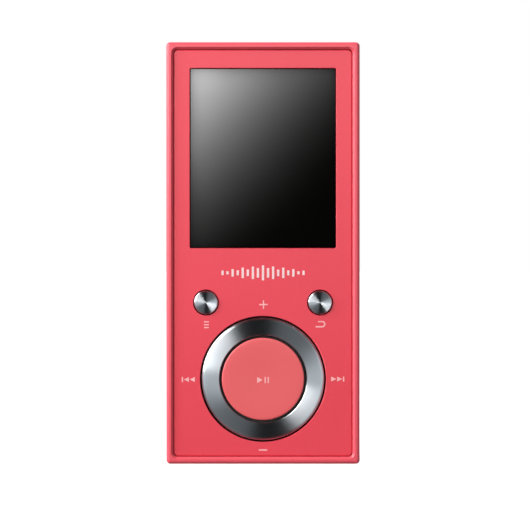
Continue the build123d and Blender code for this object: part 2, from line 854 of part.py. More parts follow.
def board_screw(x):
    top = board_back + board_screw_head
    screw = round_slab(x, ear_z, board_screw_head_radius, board_back, top)
    screw += round_slab(x, ear_z, board_screw_radius, top - board_screw_length, board_back)
    return cross_recess(screw, x, ear_z, top, *board_screw_cross)


def board_screws():
    return Compound(children=[board_screw(side * ear_half_x) for side in (-1, 1)])


# ---------------------------------------------------------------- chassis and battery
def inner_chassis():
    """The plate between display and battery, with two ears that carry the board's upper corners."""
    half = inner_half_width - chassis_side_gap
    plate = block(-half, half, display_back, chassis_back, chassis_bottom, chassis_top)
    plate = fillet(plate.edges().filter_by(Axis.Y), chassis_corner_radius)
    plate -= block(-chassis_notch_half, chassis_notch_half, display_back, chassis_back, chassis_bottom,
                   display_bottom + chassis_notch_rise)
    ear_front = board_front - ear_thickness
    ear_top = display_bottom - fit_gap
    ear_hole = board_screw_radius + thread_gap
    for side in (-1, 1):
        left, right = sorted((side * (ear_half_x - ear_half_width), side * (ear_half_x + ear_half_width)))
        plate += block(left, right, ear_front, board_front, ear_z - ear_foot, ear_top)
        plate += block(left, right, ear_front, chassis_back, chassis_bottom, ear_top)
        plate -= round_slab(side * ear_half_x, ear_z, ear_hole, ear_front, board_front)
    return plate


def battery_adhesive():
    half = battery_tape_width / 2
    return block(-half, half, chassis_back, battery_front, battery_bottom + battery_tape_margin,
                 battery_top - battery_tape_margin)


def battery_cell():
    cell = block(-battery_half_width, battery_half_width, battery_front, battery_front + battery_thickness,
                 battery_bottom, battery_top)
    cell = fillet(cell.edges().filter_by(Axis.Y), battery_corner_radius)
    return fillet(cell.edges().group_by(Axis.Y)[0] + cell.edges().group_by(Axis.Y)[-1], battery_edge_radius)


def battery_protection_board():
    half = protection_board_width / 2
    front = protection_board_depth - protection_board_thickness / 2
    return block(-half, half, front, front + protection_board_thickness,
                 battery_bottom - protection_board_height, battery_bottom)


def battery_lead(x):
    """A short lead from the protection board's lower edge, bent down on to the main board."""
    start_y = depth_to_y(protection_board_depth)
    start_z = battery_bottom - protection_board_height
    pad_y = depth_to_y(board_back)
    pad_z = board_top - lead_pad_drop
    path = FilletPolyline((x, start_y, start_z), (x, start_y, pad_z), (x, pad_y, pad_z), radius=lead_bend)
    section = Plane(origin=path @ 0, z_dir=path % 0) * Circle(lead_radius)
    return sweep(section, path=path)


nodes = {
    "side_frame": side_frame(),
    "back_cover": back_cover(),
    "case_screws": case_screws(),
    "front_panel": front_panel(),
    "panel_adhesive": panel_adhesive(),
    "display_window": display_window(),
    "window_adhesive": window_adhesive(),
    "display_gasket": display_gasket(),
    "display_bezel": display_bezel(),
    "display_glass": display_glass(),
    "display_backlight": display_backlight(),
    "display_ribbon": display_ribbon(),
    "display_connector": display_connector(),
    "nav_ring_cap": nav_ring_cap(),
    "nav_ring_carrier": nav_ring_carrier(),
    "nav_ring_gimbal": nav_ring_gimbal(),
    "select_button": select_button(),
    "menu_button_cap": button_cap(-1),
    "menu_button_stem": button_stem(-1),
    "return_button_cap": button_cap(1),
    "return_button_stem": button_stem(1),
    "volume_domes": dome_pair(0, 1),
    "track_domes": dome_pair(1, 0),
    "select_dome": dome(0, ring_z, select_dome_radius),
    "menu_dome": dome(-button_spread, button_z, dome_radius),
    "return_dome": dome(button_spread, button_z, dome_radius),
    "main_board": main_board(),
    "headphone_jack": headphone_jack(),
    "jack_contacts": jack_contacts(),
    "charging_port_shell": port_shell(),
    "charging_port_tongue": port_tongue(),
    "card_socket_base": card_socket_base(),
    "card_socket_shell": card_socket_shell(),
    "power_switch_body": power_switch_body(),
    "power_switch_lever": power_switch_lever(),
    "power_slider": power_slider(),
    "audio_processor": audio_processor(),
    "flash_memory": flash_memory(),
    "board_crystal": board_crystal(),
    "charge_controller": charge_controller(),
    "power_inductor": power_inductor(),
    "board_passives": board_passives(),
    "board_screws": board_screws(),
    "inner_chassis": inner_chassis(),
    "battery_adhesive": battery_adhesive(),
    "battery_cell": battery_cell(),
    "battery_protection_board": battery_protection_board(),
    "battery_lead_red": battery_lead(lead_places[0]),
    "battery_lead_black": battery_lead(lead_places[1]),
}

os.makedirs("parts", exist_ok=True)
for name, shape in nodes.items():
    export_step(shape, f"parts/{name}.step")
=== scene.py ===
import math

import bmesh
import bpy
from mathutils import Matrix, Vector


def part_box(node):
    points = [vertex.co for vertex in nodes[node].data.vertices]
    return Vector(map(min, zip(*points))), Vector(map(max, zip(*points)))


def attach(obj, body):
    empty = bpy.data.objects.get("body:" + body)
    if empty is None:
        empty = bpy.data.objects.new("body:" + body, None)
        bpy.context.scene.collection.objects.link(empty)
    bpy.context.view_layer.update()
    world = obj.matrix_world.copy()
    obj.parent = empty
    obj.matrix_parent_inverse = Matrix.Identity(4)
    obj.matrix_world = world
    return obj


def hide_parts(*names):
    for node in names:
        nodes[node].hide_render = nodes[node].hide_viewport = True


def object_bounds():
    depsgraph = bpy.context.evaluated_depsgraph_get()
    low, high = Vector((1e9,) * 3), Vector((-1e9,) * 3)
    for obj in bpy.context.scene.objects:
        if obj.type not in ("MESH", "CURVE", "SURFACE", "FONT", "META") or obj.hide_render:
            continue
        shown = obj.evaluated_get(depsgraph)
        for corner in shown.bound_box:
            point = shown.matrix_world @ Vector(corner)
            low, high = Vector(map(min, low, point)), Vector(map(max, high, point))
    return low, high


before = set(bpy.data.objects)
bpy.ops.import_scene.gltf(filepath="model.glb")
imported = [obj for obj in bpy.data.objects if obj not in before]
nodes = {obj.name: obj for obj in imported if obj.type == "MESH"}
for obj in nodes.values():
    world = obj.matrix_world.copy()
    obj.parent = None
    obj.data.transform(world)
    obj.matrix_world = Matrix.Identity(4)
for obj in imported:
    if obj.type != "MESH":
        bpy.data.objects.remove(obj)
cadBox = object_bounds()
mm = 0.001
print("frame loaded:", len(nodes), "nodes")


# places read from the frame
def middleOf(node):
    low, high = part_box(node)
    return (low + high) / 2


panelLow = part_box("front_panel")[0]
rimFront = cadBox[0].y
ringLow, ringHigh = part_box("nav_ring_cap")
ringCentre = (ringLow + ringHigh) / 2
ringRadius = (ringHigh.x - ringLow.x) / 2
ringInner = min(math.hypot(v.co.x - ringCentre.x, v.co.z - ringCentre.z)
                for v in nodes["nav_ring_cap"].data.vertices)
keyLow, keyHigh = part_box("select_button")
menuCentre = middleOf("menu_button_cap")
returnCentre = middleOf("return_button_cap")
windowLow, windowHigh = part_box("display_window")
playerHeight = cadBox[1].z


# mesh helpers
def finishMesh(name, bm, body, material, angle=35):
    bmesh.ops.remove_doubles(bm, verts=bm.verts, dist=1e-8)
    bmesh.ops.recalc_face_normals(bm, faces=bm.faces)
    mesh = bpy.data.meshes.new(name)
    bm.to_mesh(mesh)
    bm.free()
    mesh.shade_smooth()
    mesh.set_sharp_from_angle(angle=math.radians(angle))
    piece = bpy.data.objects.new(name, mesh)
    bpy.context.scene.collection.objects.link(piece)
    mesh.materials.append(material)
    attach(piece, body)
    return piece


def lathe(name, profile, centre, body, material, steps=192, closed=True, angle=35):
    # profile holds (radius, depth behind the rim) in millimetres, turned about a line from front to back
    bm = bmesh.new()
    rings = []
    for radius, depth in profile:
        y = rimFront + depth * mm
        if radius < 1e-6:
            rings.append([bm.verts.new((centre.x, y, centre.z))])
            continue
        turn = [2 * math.pi * i / steps for i in range(steps)]
        reach = radius * mm
        rings.append([bm.verts.new((centre.x + reach * math.cos(t), y, centre.z + reach * math.sin(t)))
                      for t in turn])
    pairs = list(zip(rings, rings[1:]))
    if closed:
        pairs.append((rings[-1], rings[0]))
    for a, b in pairs:
        for i in range(steps):
            corners = [a[i % len(a)], a[(i + 1) % len(a)], b[(i + 1) % len(b)], b[i % len(b)]]
            face = [v for n, v in enumerate(corners) if v not in corners[:n]]
            if len(face) > 2:
                bm.faces.new(face)
    return finishMesh(name, bm, body, material, angle)


def arc(centre, radius, start, end, steps):
    # points of a round stretch, in degrees
    return [(centre[0] + radius * math.cos(math.radians(start + (end - start) * i / steps)),
             centre[1] + radius * math.sin(math.radians(start + (end - start) * i / steps)))
            for i in range(steps + 1)]


def roundedOutline(width, height, radius, steps=8):
    x, z = width / 2 - radius, height / 2 - radius
    points = []
    for cx, cz, start in ((x, z, 0), (-x, z, 90), (-x, -z, 180), (x, -z, 270)):
        points += arc((cx, cz), radius, start, start + 90, steps)
    return points


def flatPiece(name, outlines, centre, front, thickness, body, material, bevel=0.0, angle=35):
    # closed outlines in millimetres round centre, made solid from front (depth in metres) backwards
    bm = bmesh.new()
    for points in outlines:
        corners = [bm.verts.new((centre.x + x * mm, front, centre.z + z * mm)) for x, z in points]
        bm.faces.new(corners)
    made = bmesh.ops.extrude_face_region(bm, geom=list(bm.faces))
    moved = [v for v in made["geom"] if isinstance(v, bmesh.types.BMVert)]
    bmesh.ops.translate(bm, verts=moved, vec=(0, thickness, 0))
    if bevel:
        face = [e for e in bm.edges if all(abs(v.co.y - front) < 1e-7 for v in e.verts)]
        bmesh.ops.bevel(bm, geom=face, offset=bevel, segments=1, profile=0.5, affect="EDGES")
    return finishMesh(name, bm, body, material, angle)


# node helpers
class NodeSheet:
    def __init__(self, tree):
        self.tree = tree

    def add(self, kind, inputs=None, **settings):
        node = self.tree.nodes.new(kind)
        for key, value in settings.items():
            setattr(node, key, value)
        for key, value in (inputs or {}).items():
            if isinstance(value, bpy.types.NodeSocket):
                self.tree.links.new(value, node.inputs[key])
            else:
                node.inputs[key].default_value = value
        return node

    def sum(self, operation, a, b=0.0, c=0.0, clamp=False):
        node = self.add("ShaderNodeMath", operation=operation, use_clamp=clamp)
        for i, value in enumerate((a, b, c)):
            if isinstance(value, bpy.types.NodeSocket):
                self.tree.links.new(value, node.inputs[i])
            else:
                node.inputs[i].default_value = value
        return node.outputs[0]

    def vector(self, operation, a, b):
        return self.add("ShaderNodeVectorMath", {0: a, 1: b}, operation=operation).outputs[0]

    def spread(self, value, fromLow, fromHigh, low, high, smooth=False):
        node = self.add("ShaderNodeMapRange", {"Value": value, "From Min": fromLow, "From Max": fromHigh,
                                               "To Min": low, "To Max": high})
        node.interpolation_type = "SMOOTHSTEP" if smooth else "LINEAR"
        return node.outputs["Result"]

    def blend(self, share, a, b):
        node = self.add("ShaderNodeMix", data_type="RGBA")
        for i, value in ((0, share), (6, a), (7, b)):
            if isinstance(value, bpy.types.NodeSocket):
                self.tree.links.new(value, node.inputs[i])
            else:
                node.inputs[i].default_value = value
        return node.outputs[2]

    def noise(self, place, scale, detail=2.0, rough=0.5):
        return self.add("ShaderNodeTexNoise", {"Vector": place, "Scale": scale, "Detail": detail,
                                               "Roughness": rough}).outputs["Fac"]

    def bump(self, height, strength, distance, normal=None):
        inputs = {"Height": height, "Strength": strength, "Distance": distance}
        if normal is not None:
            inputs["Normal"] = normal
        return self.add("ShaderNodeBump", inputs).outputs["Normal"]


def colour(r, g, b):
    return (r, g, b, 1.0)


def shade(c, factor):
    return (c[0] * factor, c[1] * factor, c[2] * factor, 1.0)


def startMaterial(name, sockets):
    material = bpy.data.materials.new(name)
    material.use_nodes = True
    sheet = NodeSheet(material.node_tree)
    shader = material.node_tree.nodes["Principled BSDF"]
    for key, value in sockets.items():
        shader.inputs[key].default_value = value
    place = sheet.add("ShaderNodeTexCoord").outputs["Object"]
    return material, sheet, shader, place


def surface(name, base, rough, grain=1500.0, vary=0.06, relief=0.00001, strength=0.15, **sockets):
    # the usual moulded, pressed or coated surface: mottled colour, uneven gloss and a fine relief
    material, sheet, shader, place = startMaterial(name, sockets)
    roughVary = 0.05
    cloud = sheet.spread(sheet.noise(place, grain * 0.12, 3.0), 0.3, 0.7, 0.0, 1.0)
    fine = sheet.noise(place, grain, 2.0)
    link = sheet.tree.links.new
    link(sheet.blend(cloud, shade(base, 1 - vary), shade(base, 1 + vary)), shader.inputs["Base Color"])
    link(sheet.spread(fine, 0.25, 0.75, rough - roughVary, rough + roughVary), shader.inputs["Roughness"])
    link(sheet.bump(fine, strength, relief), shader.inputs["Normal"])
    return material


print("helpers ready")

# salmon lacquer of the casing, the face plate and the centre key
lacquer = {
    # painted highlight: the casing is paler than the face plate so that its rim looks lit; its sides come out
    # paler too
    "casing": colour(0.83, 0.088, 0.122),
    "panel": colour(0.80, 0.050, 0.079),
    "key": colour(0.80, 0.112, 0.120),
    "back": colour(0.80, 0.080, 0.108),
    "roughness": 0.36,
    "backRoughness": 0.46,
    "coat": 0.25,
    "coatRoughness": 0.28,
    "vary": 0.015,  # how far the cloudy tint strays
    "fleck": colour(0.95, 0.22, 0.25),
    "fleckShare": 0.12,
    "cloudScale": 90.0,
    "peelScale": 1400.0,
    "fleckScale": 9000.0,
}


def lacquered(name, base, rough):
    material, sheet, shader, place = startMaterial(name, {
        "Coat Weight": lacquer["coat"], "Coat Roughness": lacquer["coatRoughness"],
        "Specular IOR Level": 0.4})
    vary = lacquer["vary"]
    cloud = sheet.spread(sheet.noise(place, lacquer["cloudScale"], 3.0), 0.3, 0.7, 0.0, 1.0)
    peel = sheet.noise(place, lacquer["peelScale"], 1.0)
    fleck = sheet.noise(place, lacquer["fleckScale"], 1.0)
    tint = sheet.blend(cloud, shade(base, 1 - vary), shade(base, 1 + vary))
    tint = sheet.blend(sheet.spread(fleck, 0.55, 0.8, 0.0, lacquer["fleckShare"]), tint, lacquer["fleck"])
    link = sheet.tree.links.new
    link(tint, shader.inputs["Base Color"])
    link(sheet.spread(peel, 0.3, 0.7, rough - 0.03, rough + 0.03), shader.inputs["Roughness"])
    link(sheet.bump(peel, 0.08, 0.000004), shader.inputs["Normal"])
    return material


casingLacquerRimHighlight = lacquered("casingLacquerRimHighlight", lacquer["casing"], lacquer["roughness"])
panelLacquer = lacquered("panelLacquer", lacquer["panel"], lacquer["roughness"])
keyLacquer = lacquered("keyLacquer", lacquer["key"], lacquer["roughness"])
backLacquer = lacquered("backLacquer", lacquer["back"], lacquer["backRoughness"])

# turned aluminium of the ring and the small keys
turned = {
    "tint": colour(0.80, 0.83, 0.86),
    "paintedGrooveShade": 0.93,  # painted shade: how much darker the bottom of a groove is
    "roughness": 0.30,
    "roughnessVary": 0.02,
    "stretch": 1.0,  # how far the lathe marks draw out the highlights
    "turn": 0.25,
    "groovePitch": 0.07,  # millimetres
    "grooveRelief": 0.0000012,
}


def turnedMetal(name, centre):
    material, sheet, shader, place = startMaterial(name, {
        "Metallic": 1.0, "Anisotropic": turned["stretch"], "Anisotropic Rotation": turned["turn"]})
    around = sheet.add("ShaderNodeTangent", direction_type="RADIAL", axis="Y").outputs["Tangent"]
    off = sheet.vector("SUBTRACT", place, (centre.x, 0, centre.z))
    flat = sheet.vector("MULTIPLY", off, (1, 0, 1))
    radius = sheet.add("ShaderNodeVectorMath", {0: flat}, operation="LENGTH").outputs["Value"]
    groove = sheet.add("ShaderNodeTexNoise", {"W": radius, "Scale": 1 / (turned["groovePitch"] * mm),
                                              "Detail": 2.0}, noise_dimensions="1D").outputs["Fac"]
    # painted shade: the colour darkens towards the bottom of each lathe groove
    grooveShadeMask = sheet.spread(groove, 0.3, 0.7, 0.0, 1.0)
    rough, roughVary = turned["roughness"], turned["roughnessVary"]
    link = sheet.tree.links.new
    link(sheet.blend(grooveShadeMask, shade(turned["tint"], turned["paintedGrooveShade"]), turned["tint"]),
         shader.inputs["Base Color"])
    link(sheet.spread(groove, 0.3, 0.7, rough - roughVary, rough + roughVary), shader.inputs["Roughness"])
    link(around, shader.inputs["Tangent"])
    link(sheet.bump(groove, 0.3, turned["grooveRelief"]), shader.inputs["Normal"])
    return material


# black window, with the unlit display showing faintly through its clear middle
window = {
    "border": colour(0.0008, 0.0008, 0.0008),
    "display": colour(0.0016, 0.0015, 0.0012),
    "displaySize": (28.0, 35.0),  # millimetres
    "displayBlur": 0.0001,
    "cornerRadius": 0.3,  # millimetres
    "glassIndex": 1.8,
    "roughness": 0.05,
    "bevel": 0.00012,
}


def windowGloss():
    material, sheet, shader, place = startMaterial("windowGloss", {"IOR": window["glassIndex"]})
    centre = (windowLow + windowHigh) / 2
    axes = sheet.add("ShaderNodeSeparateXYZ", {0: place})
    inside = []
    width, height = window["displaySize"]
    for axis, middle, size in (("X", centre.x, width), ("Z", centre.z, height)):
        away = sheet.sum("ABSOLUTE", sheet.sum("SUBTRACT", axes.outputs[axis], middle))
        inside.append(sheet.spread(away, size * mm / 2, size * mm / 2 + window["displayBlur"], 1.0, 0.0))
    mask = sheet.sum("MULTIPLY", inside[0], inside[1])
    smear = sheet.noise(place, 60.0, 4.0)
    link = sheet.tree.links.new
    link(sheet.blend(mask, window["border"], window["display"]), shader.inputs["Base Color"])
    link(sheet.spread(smear, 0.3, 0.8, window["roughness"] - 0.01, window["roughness"] + 0.02),
         shader.inputs["Roughness"])
    return material


# pale ink of the symbols and the whiter ink of the mark
ink = {
    "tint": colour(0.95, 0.46, 0.47),
    "markTint": colour(0.95, 0.68, 0.68),
    "thickness": 0.00003,
}
inkMaterial = surface("symbolInk", ink["tint"], 0.5, grain=4000, vary=0.05)
markMaterial = surface("markInk", ink["markTint"], 0.5, grain=4000, vary=0.05)
print("materials ready")


def refinish(name, material):
    nodes[name].data.materials.clear()
    nodes[name].data.materials.append(material)


# casing and face plate
refinish("side_frame", casingLacquerRimHighlight)
refinish("front_panel", panelLacquer)
refinish("back_cover", backLacquer)

# window
lensCentre = (windowLow + windowHigh) / 2
lensSize = windowHigh - windowLow
lensOutline = roundedOutline(lensSize.x / mm, lensSize.z / mm, window["cornerRadius"])
lens = flatPiece("windowLens", [lensOutline], lensCentre, windowLow.y, lensSize.y, "housing", windowGloss(),
                 bevel=window["bevel"], angle=20)
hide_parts("display_window")

# navigation ring: small inner bevel, nearly flat turned land, outer edge rolled over
ringShape = {
    "rollWidth": 0.70,
    "rollDrop": 0.62,
    "innerBevel": 0.10,
    "crown": 0.05,
    "landDrop": 0.06,  # the land's edges behind the front of the real cap
}


def ringProfile():
    outer = ringRadius / mm
    inner = ringInner / mm
    front = (ringLow.y - rimFront) / mm
    back = (ringHigh.y - rimFront) / mm
    edge = front + ringShape["landDrop"]
    landStart = inner + ringShape["innerBevel"]
    landEnd = outer - ringShape["rollWidth"]
    width, drop = ringShape["rollWidth"], ringShape["rollDrop"]
    land = [(landStart + (landEnd - landStart) * t, edge - ringShape["crown"] * math.sin(math.pi * t))
            for t in [i / 12 for i in range(13)]]
    roll = [(landEnd + width * math.sin(t), edge + drop * (1 - math.cos(t)))
            for t in [math.pi / 2 * i / 8 for i in range(1, 9)]]
    return land + roll + [(outer, back), (inner, back), (inner, edge + ringShape["innerBevel"])]


ring = lathe("navRing", ringProfile(), ringCentre, "nav_ring", turnedMetal("turnedRing", ringCentre),
             steps=256, angle=28)
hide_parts("nav_ring_cap")

# centre key: a shallow dish with a rolled edge, on the flange and stem of the real key
keyShape = {
    "radius": 8.3,
    "dish": 0.12,
    "edge": 0.25,
    "flange": 0.65,  # beyond the radius
    "flangeRoom": 0.45,  # from the ring's back to the flange
    "flangeThickness": 0.3,
    "hollow": 1.0,  # the wall beside the hollow under the cap
    "capLip": 0.1,  # the cap's back in front of the flange
    "stem": 1.5,
    "paintDepth": 0.35,  # the lacquer ends this far behind the face; the dark faces behind it are also painted shade in the gap round the key
    "plastic": colour(0.010, 0.008, 0.009),  # below the lacquer: bare plastic, kept dark also as painted shade in the gap between key and ring
}


def keyProfile():
    front = (keyLow.y - rimFront) / mm
    radius = keyShape["radius"]
    edge = keyShape["edge"]
    rolled = arc((radius - edge, front + edge), edge, -90, 0, 6)
    dish = [(r, front + keyShape["dish"] * math.cos(math.pi / 2 * r / (radius - edge)) ** 2)
            for r in [(radius - edge) * i / 14 for i in range(14)]]
    stemEnd = (keyHigh.y - rimFront) / mm
    wall = radius - keyShape["hollow"]
    flangeFront = (ringHigh.y - rimFront) / mm + keyShape["flangeRoom"]
    flangeBack = flangeFront + keyShape["flangeThickness"]
    flange = radius + keyShape["flange"]
    capBack = flangeFront - keyShape["capLip"]
    stem = keyShape["stem"]
    underside = [(radius, flangeFront), (flange, flangeFront), (flange, flangeBack), (wall, flangeBack),
                 (wall, capBack), (stem, capBack), (stem, stemEnd), (0, stemEnd)]
    return dish + rolled + underside


centreKey = lathe("centreKey", keyProfile(), ringCentre, "select_button", keyLacquer, closed=False)
keySidesPlasticAndShade = surface("keySidesPlasticAndGapShade", keyShape["plastic"], 0.6, grain=2000)
centreKey.data.materials.append(keySidesPlasticAndShade)
# faces behind the lacquer take the dark plastic, which is both the bare key and painted shade in the gap
# round it
paintEnd = keyLow.y + keyShape["paintDepth"] * mm
for face in centreKey.data.polygons:
    if face.center.y > paintEnd:
        face.material_index = 1
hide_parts("select_button")

# small turned keys: a shallow cone inside a bevelled edge
capShape = {
    "radius": 2.38,
    "edge": 0.16,
    "cone": 0.14,  # depth of the cone
    "back": 0.85,
    "tip": (0.12, 0.012),  # the blunt middle: its radius, and how much shallower it gets there
    "land": 0.2,  # flat ring between the cone and the bevel
    "landDrop": 0.01,
    "bevel": (0.03, 0.08),  # slight lean of the bevel's outer end
}


def capProfile(front):
    radius = capShape["radius"]
    edge = capShape["edge"]
    cone = front + capShape["cone"]
    back = front + capShape["back"]
    tip, rise = capShape["tip"]
    inset, drop = capShape["bevel"]
    face = [(0, cone), (tip, cone - rise), (radius - edge - capShape["land"], front),
            (radius - edge, front + capShape["landDrop"])]
    return face + [(radius - inset, front + edge), (radius, front + edge + drop), (radius, back), (0, back)]


def smallKey(name, node, centre, body):
    front = (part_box(node)[0].y - rimFront) / mm
    cap = lathe(name, capProfile(front), centre, body, turnedMetal(name + "Metal", centre), steps=96,
                closed=False, angle=20)
    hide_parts(node)


smallKey("menuCap", "menu_button_cap", menuCentre, "menu_button")
smallKey("returnCap", "return_button_cap", returnCentre, "return_button")
print("window, ring and keys made")

# printed symbols, outlines in millimetres round their own centres
symbols = {
    "bar": 0.27,  # thickness of the lines
    "arrow": 1.0,  # height of a triangle
    "plus": 1.7,
    "minus": 1.7,
    "play": 1.25,
    "hook": (2.0, 1.3),  # width and height
    "hookStep": 0.5,  # the upper arm is this much shorter
    "list": (1.0, 0.24, 0.58),  # length, thickness and spacing of its lines
    "above": 15.0,  # plus and minus above and below the ring's centre
    "below": 14.3,
    "aside": 14.9,  # previous and next to each side of it
    "menuDrop": 4.45,  # below the small keys
    "returnDrop": 4.35,
}


def bar(x, z, width, height):
    left, right = x - width / 2, x + width / 2
    low, high = z - height / 2, z + height / 2
    return [(left, low), (right, low), (right, high), (left, high)]


def triangle(x, z, width, height, way):
    # way 1 points right, -1 left
    flat, tip = x - way * width / 2, x + way * width / 2
    points = [(flat, z - height / 2), (tip, z), (flat, z + height / 2)]
    return points if way > 0 else points[::-1]


def plusOutline(size, thick):
    a, b = size / 2, thick / 2
    return [(-a, -b), (-b, -b), (-b, -a), (b, -a), (b, -b), (a, -b),
            (a, b), (b, b), (b, a), (-b, a), (-b, b), (-a, b)]


def returnOutline(width, height, thick):
    # a hook that runs back to the left, with a straight upper and lower arm
    r = height / 2
    outer = arc((width / 2 - r, 0), r, -90, 90, 10)
    inner = arc((width / 2 - r, 0), r - thick, 90, -90, 10)
    left = -width / 2
    upper = left + symbols["hookStep"]
    return [(left, -r)] + outer + [(upper, r), (upper, r - thick)] + inner + [(left, -r + thick)]


def symbol(name, outlines, x, z, body="housing", y=None, material=inkMaterial):
    front = (panelLow.y if y is None else y) - ink["thickness"]
    piece = flatPiece(name, outlines, Vector((x, 0, z)), front, ink["thickness"] * 1.5, body, material)
    return piece


def skipOutline(way, line, arrow):
    # a bar on the outside and two triangles pointing at it
    return [bar(way * 1.35, 0, line, arrow), triangle(way * 0.55, 0, 1.05, arrow, way),
            triangle(way * -0.65, 0, 1.05, arrow, way)]


def printSymbols():
    arrow, play, line = symbols["arrow"], symbols["play"], symbols["bar"]
    aside = symbols["aside"] * mm
    symbol("plusSymbol", [plusOutline(symbols["plus"], line)], 0.1 * mm,
           ringCentre.z + symbols["above"] * mm)
    symbol("minusSymbol", [bar(0, 0, symbols["minus"], line)], 0.0, ringCentre.z - symbols["below"] * mm)
    symbol("previousSymbol", skipOutline(-1, line, arrow), -aside, ringCentre.z - 0.1 * mm)
    symbol("nextSymbol", skipOutline(1, line, arrow), aside, ringCentre.z)
    playPause = [triangle(-0.65, 0, 1.1, play, 1), bar(0.45, 0, line, play), bar(1.05, 0, line, play)]
    symbol("playPauseSymbol", playPause, 0.0, ringCentre.z - 0.2 * mm, body="select_button",
           y=keyLow.y + keyShape["dish"] * mm)
    length, thick, step = symbols["list"]
    symbol("menuSymbol", [bar(0, z, length, thick) for z in (-step, 0, step)], menuCentre.x + 0.1 * mm,
           menuCentre.z - symbols["menuDrop"] * mm)
    symbol("returnSymbol", [returnOutline(*symbols["hook"], line)], returnCentre.x + 0.1 * mm,
           returnCentre.z - symbols["returnDrop"] * mm)


printSymbols()

# a sound wave in bars, alike on both sides of its middle
wave = {
    "pitch": 1.02,
    "bar": 0.46,
    "heights": (3.0, 1.9, 2.5, 1.3, 2.1, 1.0, 1.5, 0.6, 0.9),  # from the middle outwards
    "height": 38.5,  # above the player's lower end
}
bars = [bar(way * n * wave["pitch"], 0, wave["bar"], height)
        for n, height in enumerate(wave["heights"]) for way in ((1,) if n == 0 else (-1, 1))]
symbol("soundWaveMark", bars, 0.0, wave["height"] * mm, material=markMaterial)
print("symbols printed")

# the other pieces keep their shape and get their own finish
steelPressed = surface("pressedSteel", colour(0.62, 0.63, 0.65), 0.32, grain=2600, Metallic=1.0)
steelSpring = surface("springSteel", colour(0.72, 0.72, 0.74), 0.22, grain=3500, Metallic=1.0)
steelBlack = surface("blackenedSteel", colour(0.10, 0.10, 0.11), 0.38, grain=3000, Metallic=1.0)
plasticBlack = surface("blackPlastic", colour(0.018, 0.018, 0.020), 0.45, grain=2200, vary=0.15)
plasticDark = surface("darkCarrierPlastic", colour(0.012, 0.010, 0.011), 0.55, grain=2000, vary=0.15)
plasticSilver = surface("silverPlastic", colour(0.34, 0.35, 0.37), 0.38, grain=4000, Metallic=0.5)
rubberFoam = surface("foamRubber", colour(0.015, 0.015, 0.016), 0.85, grain=5000, strength=0.5)
tapeBlack = surface("doubleSidedTape", colour(0.02, 0.02, 0.02), 0.6, grain=3000)
glassDark = surface("displayGlass", colour(0.012, 0.013, 0.018), 0.08, grain=800)
acrylic = surface("lightGuideAcrylic", colour(0.82, 0.85, 0.88), 0.15, grain=900)
polyimide = surface("polyimideFilm", colour(0.45, 0.17, 0.03), 0.30, grain=1500)
gold = surface("goldPlating", colour(0.95, 0.66, 0.24), 0.22, grain=3500, Metallic=1.0)
epoxy = surface("chipEpoxy", colour(0.016, 0.016, 0.017), 0.55, grain=6000, strength=0.4)
ferrite = surface("inductorFerrite", colour(0.07, 0.07, 0.075), 0.6, grain=5000, strength=0.4)
ceramicTan = surface("capacitorCeramic", colour(0.45, 0.32, 0.19), 0.4, grain=3000)
sheetAluminium = surface("sheetAluminium", colour(0.66, 0.67, 0.68), 0.36, grain=1800, Metallic=1.0)
foilPouch = surface("foilPouch", colour(0.70, 0.71, 0.72), 0.28, grain=600, Metallic=1.0, relief=0.00003)
wireRed = surface("redInsulation", colour(0.50, 0.015, 0.015), 0.4, grain=3000)
wireBlack = surface("blackInsulation", colour(0.015, 0.015, 0.015), 0.4, grain=3000)
laminate = surface("boardLaminate", colour(0.008, 0.075, 0.025), 0.35, grain=2500, vary=0.2)

finishes = {
    "case_screws": steelBlack, "panel_adhesive": tapeBlack, "window_adhesive": tapeBlack,
    "display_gasket": rubberFoam, "display_bezel": steelPressed, "display_glass": glassDark,
    "display_backlight": acrylic, "display_ribbon": polyimide, "display_connector": plasticBlack,
    "nav_ring_carrier": plasticDark, "nav_ring_gimbal": steelPressed, "menu_button_stem": plasticDark,
    "return_button_stem": plasticDark, "volume_domes": steelSpring, "track_domes": steelSpring,
    "select_dome": steelSpring, "menu_dome": steelSpring, "return_dome": steelSpring, "main_board": laminate,
    "headphone_jack": plasticBlack, "jack_contacts": gold, "charging_port_shell": steelPressed,
    "charging_port_tongue": plasticBlack, "card_socket_base": plasticBlack,
    "card_socket_shell": steelPressed, "power_switch_body": steelPressed,
    "power_switch_lever": plasticBlack, "power_slider": plasticSilver, "audio_processor": epoxy,
    "flash_memory": epoxy, "board_crystal": steelPressed, "charge_controller": epoxy,
    "power_inductor": ferrite, "board_passives": ceramicTan, "board_screws": steelPressed,
    "inner_chassis": sheetAluminium, "battery_adhesive": tapeBlack, "battery_cell": foilPouch,
    "battery_protection_board": laminate, "battery_lead_red": wireRed, "battery_lead_black": wireBlack,
}
for name, material in finishes.items():
    refinish(name, material)
print("finishes set on", len(finishes), "inner pieces")

# studio: pale floor, one big soft light from the upper left, a dim dome
studio = {
    "keyDirection": (-1.73, -1.0, 0.87),
    "keyDistance": 0.60,
    "keySize": (0.50, 0.46),
    "keyPower": 6.4,
    "domeFront": 0.36,
    "domeBack": 0.85,
    # grey of the reflections round the front axis, clockwise from the right and repeated half a turn on
    "round": ((0, 1.15), (12, 0.78), (24, 0.46), (50, 0.45), (54, 0.35), (56, 0.04), (62, 0.01), (96, 0.006),
              (102, 0.10), (110, 0.21), (135, 0.24), (148, 0.27), (158, 0.55), (168, 0.95), (180, 1.15)),
    "nearAxis": 0.004,
    "sideShare": 0.12,
    "glossTint": (0.93, 1.0, 1.05),
    "background": colour(1.0, 1.0, 1.0),
    "floorTint": colour(0.86, 0.86, 0.86),
    "floorGlow": 0.62,
    "floorRadii": (0.05, 0.2, 0.8, 3.0, 12.0),
    "floorSteps": 48,
}


